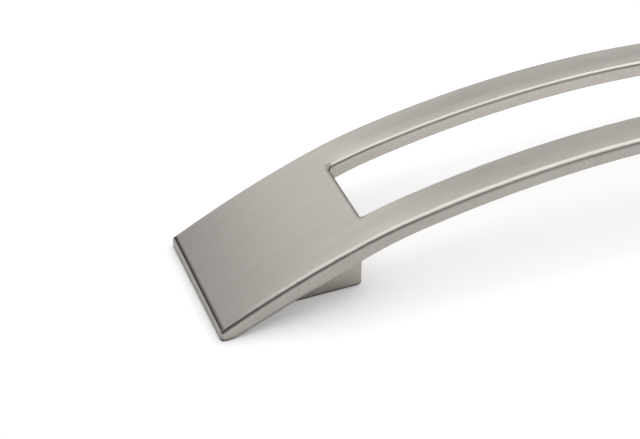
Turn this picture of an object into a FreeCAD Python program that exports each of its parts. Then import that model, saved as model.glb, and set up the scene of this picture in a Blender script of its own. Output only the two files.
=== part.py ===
import FreeCAD, Part
import math
import os

# A bow handle for a drawer or cabinet door, cast in one piece from zinc alloy. An arched strap has a long
# slot down its middle, so two rails run between two end plates. A block foot under each plate stands on
# the drawer front and takes a machine screw from behind.
# Millimetres. The origin is in the mounting plane, midway between the screws. +X runs along the handle
# and +Z points away from the drawer front.

# Fixing: centre distance of the two M4 screws, and the cored holes that are tapped for them
hole_spacing = 128.0
tap_drill_radius = 1.65
metal_over_hole = 3.0
hole_mouth_chamfer = 0.5

# Foot blocks, centred on the screws
foot_length = 15.0
foot_width = 19.4
foot_corner_radius = 1.5
foot_root_radius = 1.0

# Side view: each half of the bow is three tangent arcs, counted from the middle outwards
middle_arc_radius = 220.0
shoulder_arc_radius = 96.0
end_arc_radius = 200.0
shoulder_length = 12.0
shoulder_past_slot = 3.5
tip_overhang = 23.3
tip_face_height = 2.35
tip_land_length = 2.6
land_blend_radius = 6.0

# Strap section
middle_thickness = 3.15
shoulder_thickness = 3.45
tip_width = 30.2
middle_width = 31.6

# Corners of the outline: an arc across each, centred this far in from the end and from the side
outline_corner_radius = 1.3
outline_corner_inset = 1.22

# Slot between the rails; its end walls run on down as the inner faces of the feet
slot_width = 16.0
slot_corner_radius = 0.4

# Edges: the rolled show edges on top, outside and round the slot, and the broken outer edges below
top_edge_radius = 1.3
slot_edge_radius = 0.9
lower_edge_break = 0.2

# Places that follow from the sizes above
hole_x = hole_spacing / 2
half_length = hole_x + tip_overhang
land_x = half_length - tip_land_length
slot_end_x = hole_x - foot_length / 2
shoulder_outer_x = slot_end_x + shoulder_past_slot
shoulder_inner_x = shoulder_outer_x - shoulder_length

# How far cutting shapes run past what they cut, and the smallest length that counts
margin = 5.0
tiny = 1e-4

# Upright part of a surface normal: a wall has less than the first, a top or an underside has more than
# the second
wall_slope = 0.01
level_slope = 0.5


class Arc:
    """An arc of the right half of the side view, seen as the top of its circle."""

    def __init__(self, centre_x, centre_z, radius):
        self.x = centre_x
        self.z = centre_z
        self.radius = radius

    def height(self, x):
        return self.z + math.sqrt(self.radius ** 2 - (x - self.x) ** 2)

    def inward(self, x, distance):
        """The point at a distance from the arc's own point at x, straight towards its centre."""
        share = distance / self.radius
        start_z = self.height(x)
        return x + share * (self.x - x), start_z + share * (self.z - start_z)

    def edge(self, x_start, x_end):
        stations = (x_start, (x_start + x_end) / 2, x_end)
        return Part.Arc(*[side_point(x, self.height(x)) for x in stations]).toShape()


def side_point(x, z):
    return FreeCAD.Vector(x, 0, z)


def line(start, end):
    return Part.LineSegment(start, end).toShape()


def tangent_arc(before, x, radius):
    """The arc of a given radius that goes on smoothly from another arc at x."""
    centre_x, centre_z = before.inward(x, radius)
    return Arc(centre_x, centre_z, radius)


def tangent_arc_through(before, x, end_x, end_z):
    """The arc that goes on smoothly from another arc at x and runs through a given point."""
    start_z = before.height(x)
    toward_x, toward_z = before.inward(x, 1)
    run_x = end_x - x
    run_z = end_z - start_z
    fall = run_x * (toward_x - x) + run_z * (toward_z - start_z)
    return tangent_arc(before, x, (run_x ** 2 + run_z ** 2) / (2 * fall))


def top_arcs():
    """Top of the strap: middle, shoulder and end arc, raised so that the tip face has its height."""
    middle = Arc(0, 0, middle_arc_radius)
    shoulder = tangent_arc(middle, shoulder_inner_x, shoulder_arc_radius)
    end = tangent_arc(shoulder, shoulder_outer_x, end_arc_radius)
    rise = tip_face_height - end.height(half_length)
    return [Arc(arc.x, arc.z + rise, arc.radius) for arc in (middle, shoulder, end)]


def under_arcs(top):
    """Underside of the strap, which thickens towards the tip, and the places where its arcs meet."""
    inner_x, _ = top[0].inward(shoulder_inner_x, middle_thickness)
    outer_x, outer_z = top[1].inward(shoulder_outer_x, shoulder_thickness)
    middle = Arc(top[0].x, top[0].z, top[0].radius - middle_thickness)
    shoulder = tangent_arc_through(middle, inner_x, outer_x, outer_z)
    end = tangent_arc_through(shoulder, outer_x, land_x, 0)
    return [middle, shoulder, end], [inner_x, outer_x]


def half_curve(arcs, joints, end_x):
    """Edges of one half of the bow, from the middle to end_x, through the places where the arcs meet."""
    stations = [0] + joints + [end_x]
    return [arc.edge(start, end) for arc, start, end in zip(arcs, stations, stations[1:])]


def mirrored(shape):
    """The same shape at the other end of the handle."""
    return shape.mirror(FreeCAD.Vector(0, 0, 0), FreeCAD.Vector(1, 0, 0))


def mirrored_across(shape):
    """The same shape on the other side of the handle."""
    return shape.mirror(FreeCAD.Vector(0, 0, 0), FreeCAD.Vector(0, 1, 0))


def extruded(edges, width):
    """A solid from the edges of a side view, centred on the XZ plane."""
    face = Part.Face(Part.Wire(Part.__sortEdges__(edges)))
    face.translate(FreeCAD.Vector(0, -width / 2, 0))
    return face.extrude(FreeCAD.Vector(0, width, 0))


def upright_edges(shape):
    return [edge for edge in shape.Edges if abs(edge.BoundBox.ZLength - edge.Length) < tiny]


def rounded_block(x_low, x_high, width, z_low, z_high, corner_radius):
    """An upright block, centred on the XZ plane, with its four standing corners rounded."""
    corner = FreeCAD.Vector(x_low, -width / 2, z_low)
    block = Part.makeBox(x_high - x_low, width, z_high - z_low, corner)
    return block.makeFillet(corner_radius, upright_edges(block))


def outline_prism(height):
    """The handle's outline from the front: long sides bowed outwards, straight ends, sharp corners."""
    corners = []
    for x_side, y_side in ((-1, -1), (1, -1), (1, 1), (-1, 1)):
        corners.append(FreeCAD.Vector(x_side * half_length, y_side * tip_width / 2, -margin))
    crown = FreeCAD.Vector(0, middle_width / 2, -margin)
    crown_opposite = FreeCAD.Vector(0, -middle_width / 2, -margin)
    edges = [
        Part.Arc(corners[0], crown_opposite, corners[1]).toShape(),
        line(corners[1], corners[2]),
        Part.Arc(corners[2], crown, corners[3]).toShape(),
        line(corners[3], corners[0]),
    ]
    return Part.Face(Part.Wire(edges)).extrude(FreeCAD.Vector(0, 0, height + 2 * margin))


def corner_waste(height):
    """What lies outside the rounding of the outline's +X +Y corner."""
    centre = FreeCAD.Vector(half_length - outline_corner_inset, tip_width / 2 - outline_corner_inset, -margin)
    block = Part.makeBox(margin, margin, height + 2 * margin, centre)
    return block.cut(Part.makeCylinder(outline_corner_radius, height + 2 * margin, centre))


def land_edges(blank):
    """The edges across the strap where each tip's land turns up into the underside."""
    found = []
    for edge in blank.Edges:
        box = edge.BoundBox
        if abs(abs(box.Center.x) - land_x) < tiny and box.XLength < tiny and box.ZMax < tiny:
            found.append(edge)
    return found


def make_strap(top):
    """The arched strap before its slot, trimmed to the handle's outline."""
    under, under_joints = under_arcs(top)
    half = half_curve(top, [shoulder_inner_x, shoulder_outer_x], half_length)
    half += half_curve(under, under_joints, land_x)
    half.append(line(side_point(land_x, 0), side_point(half_length, 0)))
    half.append(line(side_point(half_length, 0), side_point(half_length, tip_face_height)))
    blank = extruded(half + [mirrored(edge) for edge in half], middle_width + margin)
    blank = blank.makeFillet(land_blend_radius, land_edges(blank))
    return blank.common(outline_prism(top[0].height(0)))


def make_foot(top):
    """The right foot: a rounded block whose roof lies inside the strap, along its bow."""
    sunk = [Arc(arc.x, arc.z - middle_thickness / 2, arc.radius) for arc in top]
    roof = half_curve(sunk, [shoulder_inner_x, shoulder_outer_x], land_x)
    roof_start = side_point(0, sunk[0].height(0))
    roof_end = side_point(land_x, sunk[2].height(land_x))
    floor_start = side_point(0, -margin)
    floor_end = side_point(land_x, -margin)
    floor = [line(roof_start, floor_start), line(floor_start, floor_end), line(floor_end, roof_end)]
    block = rounded_block(slot_end_x, slot_end_x + foot_length, foot_width, 0, top[0].height(0),
                          foot_corner_radius)
    return block.common(extruded(roof + floor, foot_width + margin))


def make_tapped_hole(top):
    """The space of one blind screw hole, on the right: flat-bottomed, with a broken mouth."""
    mouth_radius = tap_drill_radius + hole_mouth_chamfer
    foot_face = FreeCAD.Vector(hole_x, 0, 0)
    core = Part.makeCylinder(tap_drill_radius, top[2].height(hole_x) - metal_over_hole, foot_face)
    return core.fuse(Part.makeCone(mouth_radius, tap_drill_radius, hole_mouth_chamfer, foot_face))


def middle_of(edge):
    return edge.valueAt((edge.FirstParameter + edge.LastParameter) / 2)


def wall_edges(body, looks_up):
    """Edges where an upright wall meets a face that looks up, or one that looks down."""
    found = []
    for edge in body.Edges:
        slopes = []
        for face in body.ancestorsOfType(edge, Part.Face):
            slope = face.normalAt(*face.Surface.parameter(middle_of(edge))).z
            slopes.append(slope if looks_up else -slope)
        if len(slopes) == 2 and abs(min(slopes)) < wall_slope and max(slopes) > level_slope:
            found.append(edge)
    return found


def in_slot(edge):
    point = middle_of(edge)
    return abs(point.x) < slot_end_x + tiny and abs(point.y) < slot_width / 2 + tiny


def over_foot(edge):
    """Whether an edge lies over a foot's plan, clear of the mounting plane."""
    point = middle_of(edge)
    beside = abs(abs(point.x) - hole_x) < foot_length / 2 + tiny
    return beside and abs(point.y) < foot_width / 2 + tiny and point.z > tiny


def make_handle():
    top = top_arcs()
    foot = make_foot(top)
    handle = make_strap(top).fuse([foot, mirrored(foot)]).removeSplitter()
    roots = [edge for edge in wall_edges(handle, looks_up=False) if over_foot(edge)]
    handle = handle.makeFillet(foot_root_radius, roots)
    slot = rounded_block(-slot_end_x, slot_end_x, slot_width, -margin, top[0].height(0) + margin,
                         slot_corner_radius)
    handle = handle.cut(slot).removeSplitter()
    outer_edges = [edge for edge in wall_edges(handle, looks_up=True) if not in_slot(edge)]
    handle = handle.makeFillet(top_edge_radius, outer_edges)
    slot_edges = [edge for edge in wall_edges(handle, looks_up=True) if in_slot(edge)]
    handle = handle.makeFillet(slot_edge_radius, slot_edges)
    lower_edges = [edge for edge in wall_edges(handle, looks_up=False) if not in_slot(edge)]
    handle = handle.makeChamfer(lower_edge_break, lower_edges)
    waste = corner_waste(top[0].height(0))
    cuts_at_end = [waste, mirrored_across(waste), make_tapped_hole(top)]
    return handle.cut(cuts_at_end + [mirrored(shape) for shape in cuts_at_end]).Solids[0]


os.makedirs("parts", exist_ok=True)
make_handle().exportStep("parts/bow_handle.step")
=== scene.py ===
import math

import bmesh
import bpy
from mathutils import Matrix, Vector


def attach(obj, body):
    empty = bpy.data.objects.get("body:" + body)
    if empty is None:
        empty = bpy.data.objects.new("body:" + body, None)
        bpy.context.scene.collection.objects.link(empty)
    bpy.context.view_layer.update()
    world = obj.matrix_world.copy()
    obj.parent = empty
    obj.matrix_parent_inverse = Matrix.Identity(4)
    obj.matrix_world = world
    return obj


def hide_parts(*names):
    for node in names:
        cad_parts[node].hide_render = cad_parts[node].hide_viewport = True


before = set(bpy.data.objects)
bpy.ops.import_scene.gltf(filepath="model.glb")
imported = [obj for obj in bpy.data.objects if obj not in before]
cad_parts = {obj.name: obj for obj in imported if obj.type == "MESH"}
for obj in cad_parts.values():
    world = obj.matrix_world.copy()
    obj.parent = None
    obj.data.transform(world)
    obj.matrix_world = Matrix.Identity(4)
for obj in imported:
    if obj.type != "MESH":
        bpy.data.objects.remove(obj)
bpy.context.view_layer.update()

# Bow handle: strap, rails and feet are one zinc-alloy casting, ground smooth, brushed, and plated with
# nickel. The top is brushed along the bow and the edge faces across it.


def linear(hex_colour):
    """An sRGB hex colour as linear red, green, blue and alpha."""
    channels = [int(hex_colour[i:i + 2], 16) / 255 for i in (1, 3, 5)]
    return [c / 12.92 if c <= 0.04045 else ((c + 0.055) / 1.055) ** 2.4 for c in channels] + [1]


def add_node(tree, kind, settings=None, links=None):
    """Adds a shader node, sets its properties and input values, and links other sockets into its inputs."""
    node = tree.nodes.new(kind)
    for name, value in (settings or {}).items():
        if isinstance(name, int) or name in node.inputs:
            node.inputs[name].default_value = value
        else:
            setattr(node, name, value)
    for name, socket in (links or {}).items():
        tree.links.new(socket, node.inputs[name])
    return node


# Satin nickel: the casting is ground and brushed with abrasive belts, then plated with bright nickel, so
# the brush marks stay sharp under a warm grey mirror. Broad faces carry them along the bow, in fine
# streaks and in the faint bands that the worn belt leaves. The upright faces carry short ones across.
satin_nickel = bpy.data.materials.new("satin_nickel_plate")
satin_nickel.use_nodes = True
tree = satin_nickel.node_tree
shader = tree.nodes["Principled BSDF"]
place = add_node(tree, "ShaderNodeTexCoord").outputs["Object"]


def calculate(operation, *values):
    """A maths node in the node tree at hand, on plain numbers and on other nodes' outputs."""
    numbers = {slot: value for slot, value in enumerate(values) if isinstance(value, float)}
    outputs = {slot: value for slot, value in enumerate(values) if slot not in numbers}
    return add_node(tree, "ShaderNodeMath", {"operation": operation, **numbers}, outputs).outputs[0]


def multiply(*values):
    """The product of any number of nodes' outputs."""
    product = values[0]
    for value in values[1:]:
        product = calculate("MULTIPLY", product, value)
    return product


def ramp(value, span, ends=(0.0, 1.0)):
    """Goes evenly from one end to the other while the value crosses the span, and stays level past it."""
    limits = {"From Min": span[0], "From Max": span[1], "To Min": ends[0], "To Max": ends[1]}
    return add_node(tree, "ShaderNodeMapRange", limits, {"Value": value}).outputs[0]


def blend(share, first, second):
    """Goes from the first value to the second, which may be a plain number, as the share goes from 0 to 1."""
    links = {"Factor": share, "A": first}
    if isinstance(second, float):
        return add_node(tree, "ShaderNodeMix", {"B": second}, links).outputs[0]
    return add_node(tree, "ShaderNodeMix", links={**links, "B": second}).outputs[0]


def add_marks(narrow_axes, long_axis, width, length, detail):
    """Noise drawn out into marks: narrow along the first axes and long along the other one."""
    sizes = {**dict.fromkeys(narrow_axes, width), long_axis: length}
    scale = [1 / sizes[axis] if axis in sizes else 0.0 for axis in "XYZ"]
    stretch = add_node(tree, "ShaderNodeMapping", {"Scale": scale}, {"Vector": place})
    return add_node(tree, "ShaderNodeTexNoise", {"Scale": 1.0, "Detail": detail, "Roughness": 0.6},
                    {"Vector": stretch.outputs[0]}).outputs["Fac"]


# The real marks are about 0.05 mm wide, too fine to show, so they are drawn 0.3 to 0.4 mm wide.
mark_width = 0.0003
mark_length = 0.007
cross_mark_width = 0.0004
cross_mark_length = 0.003
band_width = 0.0018
band_length = 0.020
noise_span = (0.3, 0.7)
noise_middle = 0.5
long_marks = add_marks("Y", "X", mark_width, mark_length, detail=0.5)
bands = add_marks("Y", "X", band_width, band_length, detail=1.0)
cross_marks = add_marks("XY", "Z", cross_mark_width, cross_mark_length, detail=2.0)

# Where a point lies along the bow and across it, in metres, and how squarely its face looks at the end, at
# the side and up or down, from 0 to 1
position = add_node(tree, "ShaderNodeSeparateXYZ", links={0: place}).outputs
across = position["Y"]
from_middle = calculate("ABSOLUTE", position["X"])
off_centre = calculate("ABSOLUTE", across)
normal = add_node(tree, "ShaderNodeNewGeometry").outputs["Normal"]
facing = add_node(tree, "ShaderNodeSeparateXYZ", links={0: normal}).outputs
facing_end = calculate("ABSOLUTE", facing["X"])
facing_side = calculate("ABSOLUTE", facing["Y"])
facing_level = calculate("ABSOLUTE", facing["Z"])

# The share of the cross marks: none where a face looks up or down, all where it stands upright
level_to_upright = (0.70, 0.48)
upright = ramp(facing_level, level_to_upright)
marks = blend(upright, long_marks, cross_marks)

# The belt bears harder on the narrow rails than on the end plates, so its marks are stronger there.
rails_to_plates = (0.045, 0.065)
top_contrasts = (0.20, 0.08)
wall_contrast = 0.26
band_shades = (0.975, 1.025)
mark_contrast = blend(upright, ramp(from_middle, rails_to_plates, top_contrasts), wall_contrast)
mark_shade = calculate("MULTIPLY_ADD", calculate("SUBTRACT", marks, noise_middle), mark_contrast, 1.0)
brushed_shade = multiply(mark_shade, ramp(bands, noise_span, band_shades))

# Upright faces are brushed across. Their brightness is painted reflection: the sides a little lighter,
# the two end faces darker, and the slot's walls and much of the feet lighter still, standing in for the
# brighter or darker surroundings that each of them mirrors.
slot_sides = (0.0100, 0.0098)
outer_feet = (0.0750, 0.0748)
roll_to_wall = (0.40, 0.10)
feet_to_slot_walls = (0.0126, 0.0128)
painted_inner_gains = (0.27, 0.39)
sides_to_ends = (0.0866, 0.0868)
painted_outer_shades = (1.06, 0.84)
inner = multiply(ramp(off_centre, slot_sides), ramp(from_middle, outer_feet),
                 ramp(facing_level, roll_to_wall))
painted_wall_shade = calculate("MULTIPLY_ADD", inner, ramp(position["Z"], feet_to_slot_walls, painted_inner_gains),
                       ramp(from_middle, sides_to_ends, painted_outer_shades))

# Painted highlight: a lighter margin before the rolled edges on one side, the outer edge of the near
# rail and the slot edge of the far one, stands in for the light a slightly crowned rim would catch there.
# It is stronger on the rails than on the end plates and fades out toward the tips. The far rail's outer
# edge has a faint one.
near_margin = (-0.0118, -0.0146)
plates_to_rails = (0.060, 0.045)
near_gains = (0.09, 0.20)
tips_to_plates = (0.084, 0.076)
slot_margin = (0.0114, 0.0089)
middle_to_far_rail = (0.0, 0.001)
slot_end_to_rails = (0.0575, 0.0535)
slot_gains = (0.0, 0.25)
far_margin = (0.0118, 0.0146)
plates_to_far_rail = (0.050, 0.040)
far_gains = (0.0, 0.12)
face_to_roll = (0.15, 0.45)
roll_shares = (1.0, 0.4)
beside_roll = ramp(facing_side, face_to_roll, roll_shares)
near_gain = multiply(ramp(across, near_margin), ramp(from_middle, plates_to_rails, near_gains),
                     ramp(from_middle, tips_to_plates), beside_roll)
slot_gain = multiply(ramp(across, slot_margin), ramp(across, middle_to_far_rail),
                     ramp(from_middle, slot_end_to_rails, slot_gains), beside_roll)
far_gain = multiply(ramp(across, far_margin), ramp(from_middle, plates_to_far_rail, far_gains))
painted_top_highlight = calculate("ADD", calculate("ADD", calculate("ADD", near_gain, 1.0), slot_gain), far_gain)
# Brush marks, times the painted highlight on top and the painted reflection on the upright faces
marks_and_painted_light = multiply(brushed_shade, blend(upright, painted_top_highlight, painted_wall_shade))

# Painted shade: a thin dark line along the lowest half millimetre, at the lower edges of the tips and the
# foot of each face, and along the lower edges of the sides near the tips, stands in for the contact shadow
# on the table that these edges mirror.
contact_line_height = (0.0005, 0.0007)
contact_line_shades = (0.50, 1.0)
lower_line_span = (0.68, 1.0)
lower_line_darks = (0.0, 0.55)
feet_to_tips = (0.066, 0.072)
toward_lower_edge = add_node(tree, "ShaderNodeAttribute", {"attribute_name": "lower_edge"}).outputs["Fac"]
lower_line = multiply(ramp(toward_lower_edge, lower_line_span, lower_line_darks),
                      ramp(from_middle, feet_to_tips))
painted_contact_shade = multiply(ramp(position["Z"], contact_line_height, contact_line_shades),
                       calculate("SUBTRACT", 1.0, lower_line))
shade_with_painted_lines = multiply(marks_and_painted_light, painted_contact_shade)

# Painted shade: the dark lines that the rolls round the tips and across the slot's ends mirror are painted
# wider and darker, a line along each end, and one along each side of the tips that grows toward the corners.
end_line_start = (0.0863, 0.0866)
end_line_foot = (0.70, 0.58)
end_line_darks = (0.0, 0.50)
side_line_start = (0.48, 0.62)
side_line_foot = (0.97, 0.90)
plates_to_corners = (0.060, 0.0873)
corner_darks = (0.0, 0.52)
slot_line_end = (0.0574, 0.0570)
slot_line_darks = (0.0, 0.45)
slot_line_start = (0.0558, 0.0563)
slot_corners = (0.0092, 0.0086)
wall_to_roll = (0.25, 0.45)
end_line = multiply(ramp(from_middle, end_line_start), ramp(facing_end, end_line_foot, end_line_darks))
side_line = multiply(ramp(facing_side, side_line_start), ramp(facing_side, side_line_foot),
                     ramp(from_middle, plates_to_corners, corner_darks))
slot_line = multiply(ramp(from_middle, slot_line_end, slot_line_darks), ramp(from_middle, slot_line_start),
                     ramp(off_centre, slot_corners))
painted_dark_lines = calculate("MAXIMUM", calculate("MAXIMUM", end_line, side_line), slot_line)
painted_line_shade = calculate("SUBTRACT", 1.0, multiply(painted_dark_lines, ramp(facing_level, wall_to_roll)))
warm_grey = linear("#b7b2ac")[:3]
nickel_colour = add_node(tree, "ShaderNodeVectorMath", {"operation": "SCALE", 0: warm_grey},
                         {"Scale": multiply(shade_with_painted_lines, painted_line_shade)})
tree.links.new(nickel_colour.outputs[0], shader.inputs["Base Color"])

# The rolled edges across the tips are buffed smoother than the long ones, which the belt runs along, so
# their lines are crisper.
top_to_roll = (0.90, 0.78)
wall_to_upper_roll = (0.15, 0.35)
brushed_roughness = (0.285, 0.315)
long_to_tip_rolls = (0.50, 0.62)
roll_roughness = (0.31, 0.15)
rolled = multiply(ramp(facing["Z"], top_to_roll), ramp(facing["Z"], wall_to_upper_roll))
roughness = blend(rolled, ramp(marks, noise_span, brushed_roughness),
                  ramp(facing_end, long_to_tip_rolls, roll_roughness))
tree.links.new(roughness, shader.inputs["Roughness"])
shader.inputs["Metallic"].default_value = 1.0

# The casting's own surfaces, with their facets joined, so that light runs smoothly over the rolled edges
# and breaks only at the edges that are sharper than that. The attribute lower_edge is 1 along the lower
# edges of the outer sides, so the material can tell how near they are.
sharp_angle = math.radians(28)
outer_side_start = 0.0130
looks_down = -0.3
casting_shape = bmesh.new()
casting_shape.from_mesh(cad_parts["bow_handle"].data)
bmesh.ops.remove_doubles(casting_shape, verts=casting_shape.verts, dist=1e-6)
for face in casting_shape.faces:
    face.smooth = True
lower_edge = casting_shape.verts.layers.float.new("lower_edge")
for corner in casting_shape.verts:
    on_outer_side = abs(corner.co.y) > outer_side_start
    above_underside = any(face.normal.z < looks_down for face in corner.link_faces)
    corner[lower_edge] = float(on_outer_side and above_underside)
for edge in casting_shape.edges:
    edge.smooth = edge.calc_face_angle(0.0) < sharp_angle
casting_mesh = bpy.data.meshes.new("casting")
casting_shape.to_mesh(casting_mesh)
casting_shape.free()
casting = bpy.data.objects.new("casting", casting_mesh)
bpy.context.scene.collection.objects.link(casting)
even_light = casting.modifiers.new("even_light", "WEIGHTED_NORMAL")
even_light.keep_sharp = True
even_light.weight = 90
casting_mesh.materials.append(satin_nickel)
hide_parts("bow_handle")
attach(casting, "root")

# Table: a plain white sheet that runs on past the picture. Light Path adds a little white for the camera
# alone, so the sheet stays white and still takes the soft shadow of the handle. It adds less beyond the
# left tip, where nothing but the tip shades the sheet, so the shadow there shows deeper: painted shade.
table_half = 0.40
beyond_tip_to_table = (-0.093, -0.080)
table_glows = (0.172, 0.272)
table_mesh = bpy.data.meshes.new("table")
table_shape = bmesh.new()
bmesh.ops.create_grid(table_shape, x_segments=1, y_segments=1, size=table_half)
table_shape.to_mesh(table_mesh)
table_shape.free()
table = bpy.data.objects.new("table", table_mesh)
bpy.context.scene.collection.objects.link(table)

white_sheet = bpy.data.materials.new("white_sheet")
white_sheet.use_nodes = True
tree = white_sheet.node_tree
tree.nodes.clear()
seen = add_node(tree, "ShaderNodeLightPath")
sheet_place = add_node(tree, "ShaderNodeTexCoord").outputs["Object"]
sheet_position = add_node(tree, "ShaderNodeSeparateXYZ", links={0: sheet_place}).outputs
glow_here = ramp(sheet_position["X"], beyond_tip_to_table, table_glows)
glow = add_node(tree, "ShaderNodeEmission", {"Color": linear("#ffffff")},
                {"Strength": multiply(seen.outputs["Is Camera Ray"], glow_here)})
paper = add_node(tree, "ShaderNodeBsdfDiffuse", {"Color": linear("#f6f6f6")})
paper_and_glow = add_node(tree, "ShaderNodeAddShader", links={0: paper.outputs[0], 1: glow.outputs[0]})
add_node(tree, "ShaderNodeOutputMaterial", links={"Surface": paper_and_glow.outputs[0]})
table_mesh.materials.append(white_sheet)

# Light: the rolled near edges mirror the soft boxes overhead, and the top of the bow mirrors the lit white
# wall behind. The dim room in front draws the dark lines beside the rolls, less dark where a panel at the
# front right lights them. The low front wall and the two windows lighten the shadow on the table.
ceiling = 0.60
back = 0.70
front = -0.80


def add_panel(name, centre, toward, width, height, radiance):
    """A flat lamp with its centre in one place, its lit face toward another, and an even radiance."""
    lamp = bpy.data.lights.new(name, "AREA")
    lamp.shape = "RECTANGLE"
    lamp.size = width
    lamp.size_y = height
    lamp.energy = radiance * math.pi * width * height
    panel = bpy.data.objects.new(name, lamp)
    panel.location = centre
    panel.rotation_euler = (Vector(toward) - Vector(centre)).to_track_quat("-Z", "Y").to_euler()
    bpy.context.scene.collection.objects.link(panel)


add_panel("soft_box", (0.23, 0.15, ceiling), (0.23, 0.15, 0.0), 1.10, 0.38, 1.46)
add_panel("soft_box_front", (0.23, -0.20, ceiling), (0.23, -0.20, 0.0), 1.10, 0.32, 1.46)
add_panel("soft_box_left", (-0.40, -0.04, ceiling), (-0.40, -0.04, 0.0), 0.16, 0.76, 1.25)
add_panel("lit_wall", (-0.16, back, 0.52), (-0.16, 0.0, 0.52), 0.36, 0.96, 1.03)
add_panel("lit_wall_right", (0.52, back, 0.52), (0.52, 0.0, 0.52), 1.00, 0.96, 0.68)
add_panel("lit_wall_left", (-0.79, back, 0.775), (-0.79, 0.0, 0.775), 0.9, 0.61, 0.72)
add_panel("front_wall", (0.20, front, 0.14), (0.20, 0.0, 0.14), 2.2, 0.28, 0.70)
add_panel("front_wall_right", (0.32, front, 0.62), (0.0, 0.0, 0.0), 0.6, 0.6, 0.28)
add_panel("window_left", (-0.98, -0.22, 0.56), (0.0, 0.0, 0.0), 0.5, 0.5, 1.8)
add_panel("window_right", (0.66, 0.30, 0.75), (0.0, 0.0, 0.0), 0.45, 0.45, 0.7)

dim_level = 0.12
white_level = 1.0
room = bpy.data.worlds.new("dim_room")
bpy.context.scene.world = room
room.use_nodes = True
tree = room.node_tree
tree.nodes.clear()
seen = add_node(tree, "ShaderNodeLightPath")
dim = add_node(tree, "ShaderNodeBackground", {"Color": linear("#ffffff"), "Strength": dim_level})
white = add_node(tree, "ShaderNodeBackground", {"Color": linear("#ffffff"), "Strength": white_level})
room_light = add_node(tree, "ShaderNodeMixShader",
                      links={0: seen.outputs["Is Camera Ray"], 1: dim.outputs[0], 2: white.outputs[0]})
add_node(tree, "ShaderNodeOutputWorld", links={"Surface": room_light.outputs[0]})

# Camera: from the near left, looking down on the left half of the handle
aim = Vector((-0.0619, -0.0005, 0.0107))
camera_azimuth = math.radians(21.58)
camera_elevation = math.radians(39.25)
camera_distance = 0.3054
look = Vector((math.sin(camera_azimuth) * math.cos(camera_elevation),
               math.cos(camera_azimuth) * math.cos(camera_elevation),
               -math.sin(camera_elevation)))
camera_data = bpy.data.cameras.new("camera")
camera_data.lens = 89.6
camera_data.sensor_width = 36.0
camera_data.clip_start = 0.01
camera = bpy.data.objects.new("camera", camera_data)
camera.location = aim - camera_distance * look
camera.rotation_euler = look.to_track_quat("-Z", "Y").to_euler()
bpy.context.scene.collection.objects.link(camera)
bpy.context.scene.camera = camera

bpy.context.scene.view_settings.view_transform = "Standard"
